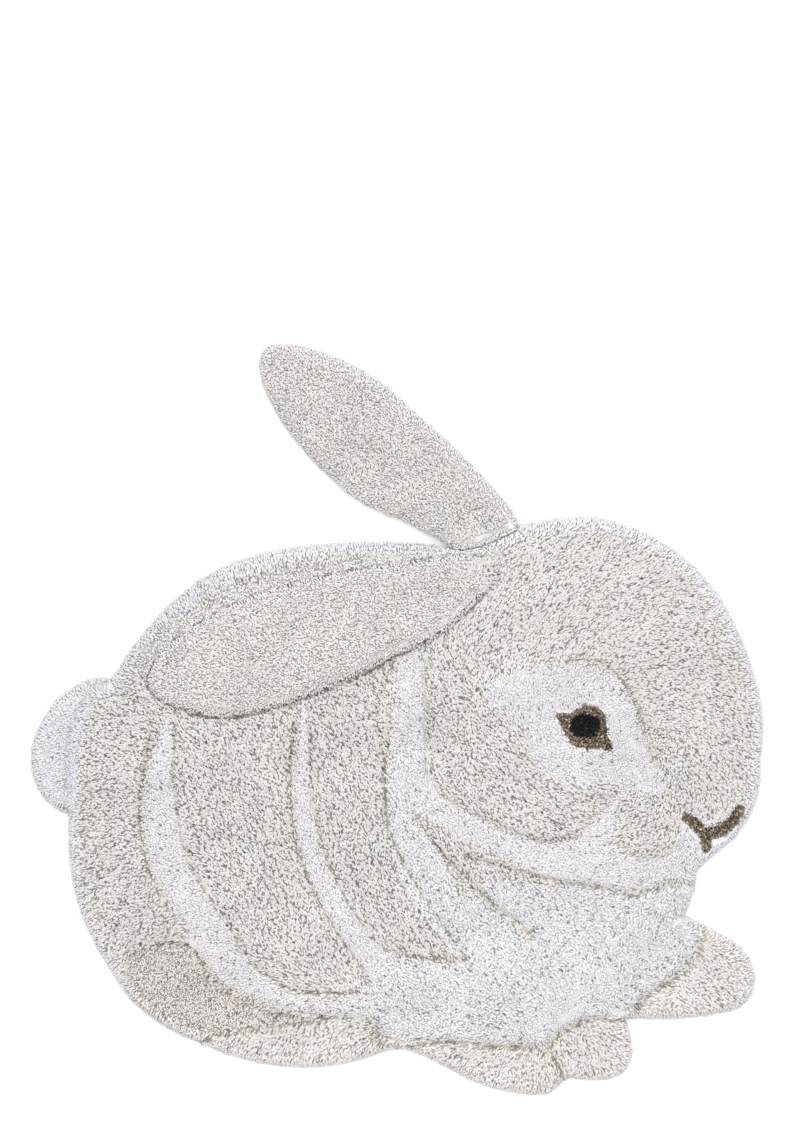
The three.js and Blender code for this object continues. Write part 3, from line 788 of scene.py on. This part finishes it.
def standLocks(patch, dial, roots, tipSpot, tone, splay, clumps, near):
    # The three points of each lock, and which ones are thin and in shade
    low, edgeHeight = dial["low"], dial["edge"]
    top = heightOf(patch, roots, edgeHeight)[0]
    calm = calmOf(tone, roots)
    loose = 1 - 0.4 * calm * (tone == "ecru")  # calm ecru is less deep and less shaded
    root = np.column_stack([roots, np.maximum(top - toneValue(tone, "bed") * loose - 2, low)])
    along = dial["along"] + 0.2 * splay
    bendSpot = roots + (tipSpot - roots) * along[:, None]
    bendTop = heightOf(patch, bendSpot, edgeHeight)[0]
    rise = dial["bend"] + 0.12 * np.maximum(splay, calm)
    bend = np.column_stack([bendSpot, root[:, 2] + (bendTop - root[:, 2]) * rise])
    tipTop, tipDepth = heightOf(patch, tipSpot, edgeHeight)
    uneven = rng.normal(0, dial["uneven"], len(roots)) * (0.8 - 0.3 * calm)
    uneven += clumps["lift"][near] * (1 - calm)
    tip = np.column_stack([tipSpot, np.maximum(tipTop - 0.3 + uneven * (tipDepth > 0), low * 0.3)])
    # Painted shade: a share of the locks is picked to be lifted a little and painted dark where the
    # colours are made, to stand for gaps where the pile opens
    shaded = (rng.uniform(0, 1, len(roots)) < toneValue(tone, "low") * loose) & (splay < 0.5)
    bend[shaded, 2] += 0.5
    tip[shaded, 2] += 0.9
    return root, bend, tip, shaded


shornThigh = [(-392, -352), (-352, -336), (-315, -331), (-270, -391), (-190, -432), (-112, -444),
              (-170, -454), (-235, -458), (-300, -478), (-350, -455), (-398, -418)]

# Painted light: pale colours that the rims' locks and the back's pile over the laid ear's upper edge are
# painted towards
paintedLightColours = {  # of locks that lie over
    "rim": linearOf("#EFEDF1"), "ridgeLight": linearOf("#EDEAEC"), "earRim": linearOf("#F0EDEE"),
}

# x, y, how far in the pale rim of painted light reaches, how pale it is, how dark the tips end as painted
# shade, how much painted light brightens the pile a little way in
rimLightAndShade = [
    (-400, 60, 20, 0.88, 0.35, 0.03), (-330, 180, 24, 0.88, 0.35, 0.03), (-145, 262, 15, 0.97, 0.24, 0.02),
    (100, 265, 14, 1.0, 0.18, 0.02), (304, 300, 17, 0.97, 0.12, 0.0), (450, 200, 15, 0.96, 0.16, 0.0),
    (520, 50, 9, 0.96, 0.22, 0.0), (545, -30, 14, 0.98, 0.12, 0.0), (545, -94, 18, 0.98, 0.1, 0.0),
    (490, -190, 12, 1.0, 0.0, 0.0),
    (500, -400, 1, 0.95, 0.42, 0.05), (300, -560, 1, 0.95, 0.45, 0.08), (0, -490, 1, 0.93, 0.42, 0.09),
    (-250, -490, 2, 0.93, 0.36, 0.1), (-400, -410, 7, 0.97, 0.4, 0.08), (-490, -168, 12, 0.97, 0.45, 0.08),
    (-550, -40, 20, 0.9, 0.45, 0.0),
]


def bodyTones(at):
    tone = markingAt(at)
    tone[insideOf(curveLoop(shornThigh), wander(at))] = "shorn"
    return tone


def isDark(tone):
    return (tone == "brown") | (tone == "pupil")


def bodyColours(tone, at, depth, gap, strong, shade):
    undyed = (tone == "ecru") | (tone == "shorn")
    shade = shade * np.where(undyed, blended(cotton, at, blendReach["cotton"])[:, 0], 1)
    colours = colourOf(tone, at, shade)
    # Painted light: the rim's locks are painted paler and whiter, and the pile a little way in brighter,
    # as where their sides catch the light
    width, pale, _, paintedRimLight = blended(rimLightAndShade, at, blendReach["rim"]).T
    colours *= (1 + paintedRimLight * (1 - smoothStep(8, 26, depth)))[:, None]
    litRim = 0.85 * (1 - smoothStep(0.6, 1.3, depth / width)) * ~isDark(tone) * np.clip(width / 6, 0, 1)
    colours += (paintedLightColours["rim"] * pale[:, None] - colours) * litRim[:, None]
    # Painted shade: a crease is a thin broken line of painted shade, and the pile beside it is painted a
    # little browner, as it lies in shade
    broken = smoothStep(-0.4, 0.3, smoothNoise(at, 15, 61))
    colours *= (1 - 0.6 * strong * broken * (1 - smoothStep(0.5, 2.2, gap)))[:, None]
    creaseShadeTint = strong * (1 - smoothStep(3, 10, gap)) * rng.uniform(0, 1, len(at)) ** 2 * ~isDark(tone)
    colours *= 1 - creaseShadeTint[:, None] * [0.04, 0.08, 0.17]
    return colours


creaseLines = {name: curveThrough(placed(points)) for name, points in creases.items()}


def nearestCrease(at):
    # Distance to the nearest crease, the direction away from it, and how strongly it shows
    gap = np.full(len(at), np.inf)
    away = np.zeros((len(at), 2))
    strong = np.ones(len(at))
    for name, line in creaseLines.items():
        who = nearBox(line, at, 10)
        distance, along = nearestOn(line, at[who])
        closer = distance < gap[who]
        who, distance, share = who[closer], distance[closer], along[closer] * (len(line) - 1)
        foot = np.column_stack([np.interp(share, np.arange(len(line)), line[:, k]) for k in (0, 1)])
        away[who] = (at[who] - foot) / np.maximum(distance, 1e-3)[:, None]
        gap[who] = distance
        strong[who] = faint.get(name, 1)
    return gap, away, strong


def bodyRoots():
    roots = jitteredGrid(body.outline, pile["spacing"])
    roots = roots[bodyTones(roots) != "shorn"]
    fine = jitteredGrid(body.outline, pile["fineSpacing"])
    roots = np.vstack([roots, fine[bodyTones(fine) == "shorn"]])
    roots = roots[body.toRim(roots)[0] > 0.8]
    # Under the laid ear the long pile is pressed flat, and only its edge is worth making
    return roots[laid.toRim(roots)[0] < 5]


def seenToneOf(tone, seen):
    # The tone where a lock shows, so that edges of a colour break up, but not the eye's and the nose's
    strayed = bodyTones(seen + rng.normal(0, 2.2, seen.shape))
    seenTone = np.where(isDark(tone), tone, strayed)
    return np.where(isDark(seenTone) & ~isDark(tone), tone, seenTone)


def paintShadeAndLightBesideEar(colours, seen, close):
    # Painted shade: little light gets in below the laid ear's lower edge, so the pile there is painted
    # darker and browner, in broken stretches
    earDepth, earOut = laid.toRim(seen[close])
    under = smoothStep(-6, -2, earDepth) * (earOut[:, 1] < 0)
    under *= 0.1 + 0.9 * smoothStep(0.1, -0.7, edgeWaver(seen[close]))
    colours[close] *= 1 - under[:, None] * [0.45, 0.49, 0.58]
    # Painted light: over its upper edge the back's pile is painted pale, to lighten the line of shade
    # along the step
    ridgeLight = 0.5 * smoothStep(-20, -5, earDepth) * (earOut[:, 1] > 0.2)
    colours[close] += (paintedLightColours["ridgeLight"] - colours[close]) * ridgeLight[:, None]


# Where the body's pile is divided into pieces: the first three by x, then the head from the chest and
# the eye from the nose by y
pieceEnds = {"rump": -300, "haunch": -140, "flank": 30, "chest": -105, "nose": -100}


def bodyPieces(tone, roots):
    x, y = roots.T
    dark, ends = isDark(tone), pieceEnds
    front = ~dark & (x >= ends["flank"])
    return {
        "pileEye": dark & (y > ends["nose"]),
        "pileNose": dark & (y <= ends["nose"]),
        "pileTailAndRump": ~dark & (x < ends["rump"]),
        "pileHaunch": ~dark & (x >= ends["rump"]) & (x < ends["haunch"]),
        "pileFlank": ~dark & (x >= ends["haunch"]) & (x < ends["flank"]),
        "pileChest": front & (y < ends["chest"]),
        "pileHead": front & (y >= ends["chest"]),
    }


def growBody():
    roots = bodyRoots()
    tone = bodyTones(roots)
    clumps, near, splay, tipSpot = layLocks(body, pile, roots, combedAt(roots), tone)

    # Along a crease the locks part to both sides. Beside the laid ear the back's locks lie over its
    # upper edge, and the flank's stay out from under it.
    gap, away, strong = nearestCrease(roots)
    tipSpot += away * (pile["partBy"] * strong * (1 - smoothStep(1.0, pile["parting"], gap)))[:, None]
    earDepth, earOut = laid.toRim(roots)
    above = earOut[:, 1] >= 0
    beside = np.where(above, smoothStep(-26, -1, earDepth), smoothStep(-9, -1, earDepth)) * (earDepth < 0)
    tipSpot += earOut * (beside * np.where(above, -besideEar["lap"], besideEar["stayOff"]))[:, None]
    tipInside = laid.toRim(tipSpot)[0]
    # The eye and the nose have clean edges
    strays = isDark(tone) != isDark(bodyTones(tipSpot))
    tipSpot[strays] = roots[strays] + 0.12 * (tipSpot - roots)[strays]

    root, bend, tip, shaded = standLocks(body, pile, roots, tipSpot, tone, splay, clumps, near)
    over = np.nan_to_num(laid.topAt(tipSpot)) + 0.6
    lapped = (beside > 0) & (above | (tipInside < 4))
    tip[:, 2] = np.where(lapped, np.maximum(tip[:, 2], over), tip[:, 2])
    covered = earDepth > 0
    tip[covered, 2] = np.minimum(tip[covered, 2], besideEar["pressed"])
    bend[covered, 2] = np.minimum(bend[covered, 2], besideEar["pressedBend"])
    widths = pile["width"] * rng.uniform(0.78, 1.22, len(roots)) * np.where(tone == "shorn", 0.72, 1)
    widths *= (1 - 0.25 * splay) * np.where(shaded, pile["thin"], 1)

    seen = roots * 0.35 + tipSpot * 0.65  # what shows of a lock from above lies here
    seenTone = seenToneOf(tone, seen)
    # Painted shade: the shaded locks are painted dark, as gaps in the pile would look
    shade = clumps["shade"][near] * rng.normal(1, 0.04, len(roots)) * np.where(shaded, pile["shadow"], 1)
    grain = np.exp(rng.normal(0, 0.5, len(roots)) * np.where(tone == "pupil", 1.7, 1))
    shade *= np.where(isDark(tone), grain, 1 + rng.normal(0, 0.07, len(roots)) * splay)
    colours = bodyColours(seenTone, seen, body.toRim(seen)[0], gap, strong, shade)
    paintShadeAndLightBesideEar(colours, seen, np.flatnonzero(earDepth > -28))
    rootShade = toneValue(seenTone, "root") + 0.14 * calmOf(seenTone, seen) * (seenTone == "ecru")
    # The outermost tips curl down into the rug's own shade
    dark = blended(rimLightAndShade, tipSpot, blendReach["rim"])[:, 2]
    tipShade = 1 - dark * (1 - smoothStep(-4, 5, body.toRim(tipSpot)[0]))

    return [
        growLocks(name, root[who], bend[who], tip[who], widths[who], colours[who], rootShade[who],
                  tipShade[who], longPile)
        for name, who in bodyPieces(tone, roots).items()
    ]


def bodyBedHeights(at):
    top, depth = heightOf(body, at, pile["edge"])
    tone = bodyTones(at)
    shallower = np.where(tone == "ecru", 0.45, 0.3) * calmOf(tone, at)
    below = toneValue(tone, "bed") * (1 - shallower) + 2.0 * (1 - smoothStep(0, 14, depth))
    below = np.where(laid.toRim(at)[0] > -1, 1.0, below)
    return np.maximum(top - below + rng.normal(0, 0.4, len(at)), 2.8)


def bodyBedColours(at):
    tone = bodyTones(at)
    gap, _, strong = nearestCrease(at)
    colours = bodyColours(tone, at, body.toRim(at)[0], gap, strong, rng.normal(1, 0.03, len(at)))
    # Painted shade: the bed between the locks is painted as dark as a lock's root
    return colours * (toneValue(tone, "root") + 0.02)[:, None]


def earColours(patch, at, shade):
    # Painted light: paler at the rim, most so on the upper right, the side towards the light, and least on
    # the lower left, the shaded side
    depth, out = patch.toRim(at)
    upperRight = out @ [0.7, 0.7]
    width = earPile["litRimWidth"] * (1 + 0.4 * upperRight)
    litRim = (1 - smoothStep(0.3, 1.3, depth / width)) * (0.45 + 0.4 * upperRight)
    colours = colourOf(allOf("ear", at), at, shade)
    return colours + (paintedLightColours["earRim"] - colours) * litRim[:, None], litRim


def growEar(name, patch, dial):
    roots = jitteredGrid(patch.outline, dial["spacing"])
    depth, out = patch.toRim(roots)
    notch = dial["notch"] * np.clip(-edgeWaver(roots), 0, 1) * (out[:, 1] < 0.1)
    roots = roots[depth > 1.0 + notch]
    tone = allOf("ear", roots)
    angle = math.radians(dial["combed"])
    ways = np.tile([math.cos(angle), math.sin(angle)], (len(roots), 1))
    ways = turned(ways, 0.5 * smoothNoise(roots, 60, 5))
    clumps, near, splay, tipSpot = layLocks(patch, dial, roots, ways, tone)
    root, bend, tip, shaded = standLocks(patch, dial, roots, tipSpot, tone, splay, clumps, near)
    past = patch.toRim(tipSpot)[0] < 0
    below = heightOf(body, tipSpot[past], 0.0)[0]
    tip[past, 2] = np.maximum(tip[past, 2], below + 0.8)
    widths = dial["width"] * rng.uniform(0.78, 1.22, len(roots)) * np.where(shaded, dial["thin"], 1)
    shade = dial["pale"] * clumps["shade"][near] * (1 + rng.normal(0, 0.04 + 0.05 * splay))
    # Painted shade: the shaded locks are painted dark, as gaps in the pile would look
    shade *= np.where(shaded, dial["shadow"], 1)
    colours, litRim = earColours(patch, roots * 0.35 + tipSpot * 0.65, shade)
    # The painted light of the rim also lightens the roots there
    rootShade = toneValue(tone, "root") + 0.12 * litRim
    tipShade = 1 - dial["tipDark"] * (1 - smoothStep(-2, 3, patch.toRim(tipSpot)[0]))
    locks = growLocks(name, root, bend, tip, widths, colours, rootShade, tipShade, shortPile)

    def bedHeights(at):
        top, bedDepth = heightOf(patch, at, dial["edge"])
        sunk = tones["ear"]["bed"] + 1.5 * (1 - smoothStep(0, 8, bedDepth))
        return np.maximum(top - sunk + rng.normal(0, 0.25, len(at)), dial["low"] + 0.6)

    def bedColours(at):
        # Painted shade: the ear's bed is painted darker than its locks
        return 0.87 * earColours(patch, at, rng.normal(1, 0.04, len(at)))[0]

    return [locks, growBed(name + "Bed", patch, dial, bedHeights, bedColours, shortPile)]


earSeam = {"centre": (140, 216), "reach": (34, 24), "spacing": 2.6, "length": 13.0, "width": 3.3}


def growSeam():
    # Where the laid ear is sewn on, the pile of the head falls over its end
    centre = placed([earSeam["centre"]])[0]
    ring = np.linspace(0, math.tau, 60, endpoint=False)
    around = centre + np.column_stack([np.cos(ring), np.sin(ring)]) * earSeam["reach"]
    roots = jitteredGrid(around, earSeam["spacing"])
    roots = roots[(laid.toRim(roots)[0] > -8) & (body.toRim(roots)[0] > 4)]
    out = unitOf(laid.toRim(roots)[1] + 0.5 * combedAt(roots))
    out = turned(out, rng.normal(0, 0.35, len(roots)))
    length = earSeam["length"] * rng.uniform(0.6, 1.1, len(roots))

    def topOf(at):
        return np.fmax(np.fmax(body.topAt(at), laid.topAt(at)), 12)

    tipSpot = roots + out * length[:, None]
    bendSpot = roots + out * (0.5 * length)[:, None]
    root = np.column_stack([roots, topOf(roots) - 3.5])
    bend = np.column_stack([bendSpot, (topOf(bendSpot) + root[:, 2] + 3.5) / 2])
    tip = np.column_stack([tipSpot, topOf(tipSpot) + rng.normal(0, 0.6, len(roots))])
    tone = allOf("ecru", roots)
    colours = colourOf(tone, roots, rng.normal(1, 0.05, len(roots)))
    widths = earSeam["width"] * rng.uniform(0.8, 1.2, len(roots))
    return growLocks("pileEarSeam", root, bend, tip, widths, colours, toneValue(tone, "root"),
                     np.ones(len(roots)), longPile)


bodyPile = growBody()
bodyPile.append(growSeam())
print("long pile:", [(p.name, len(p.data.polygons) // 6) for p in bodyPile])
bodyPile.append(growBed("pileBed", body, pile, bodyBedHeights, bodyBedColours, longPile))
raisedPile = growEar("pileRaisedEar", raised, earPile)
laidPile = growEar("pileLaidEar", laid, laidEarPile)
print("ear pile:", len(raisedPile[0].data.polygons) // 6, len(laidPile[0].data.polygons) // 6)
trianglesIn = {p.name: len(p.data.polygons) for p in [*bodyPile, *raisedPile, *laidPile]}
print("triangles:", trianglesIn, "in all", sum(trianglesIn.values()))


# Backing cloth under each tufted piece, cut just inside the pile's rim

backing = {
    "low": 0.5, "earSeat": 17.4, "thick": 1.8,  # under side on the floor and on the rug, thickness
    "rugIn": 0.8, "raisedEarIn": 0.6, "laidEarIn": 7.5,  # how far inside each outline
    "pointEvery": 5.0,
}


def backingLoop(patch, inward):
    return offset(evenly(patch.outline, backing["pointEvery"]), -inward)


def clothSheet(name, loop, low):
    # A thin closed sheet with the outline of a loop
    cloth = bmesh.new()
    base = [cloth.verts.new((x * mm, y * mm, low * mm)) for x, y in loop]
    face = cloth.faces.new(base)
    raisedGeom = bmesh.ops.extrude_face_region(cloth, geom=[face])
    for v in raisedGeom["geom"]:
        if isinstance(v, bmesh.types.BMVert):
            v.co.z += backing["thick"] * mm
    bmesh.ops.triangulate(cloth, faces=[f for f in cloth.faces if len(f.verts) > 4])
    bmesh.ops.recalc_face_normals(cloth, faces=cloth.faces)
    mesh = bpy.data.meshes.new(name)
    cloth.to_mesh(mesh)
    cloth.free()
    mesh.materials.append(canvas)
    return placeObject(name, mesh)


bodyLoop = backingLoop(body, backing["rugIn"])
raisedLoop = backingLoop(raised, backing["raisedEarIn"])
laidLoop = backingLoop(laid, backing["laidEarIn"])
bodyCloth = clothSheet("backingRug", bodyLoop, backing["low"])
raisedCloth = clothSheet("backingRaisedEar", raisedLoop, backing["low"])
laidCloth = clothSheet("backingLaidEar", laidLoop, backing["earSeat"])
print("backing cut")


# Stage the pieces on the frame

for piece in [*bodyPile, bodyCloth]:
    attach(piece, "root")
for piece in [*raisedPile, *laidPile, raisedCloth, laidCloth]:
    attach(piece, "root")
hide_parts("rug")
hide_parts("ear_raised")
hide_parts("ear_laid")

print("scene ready")
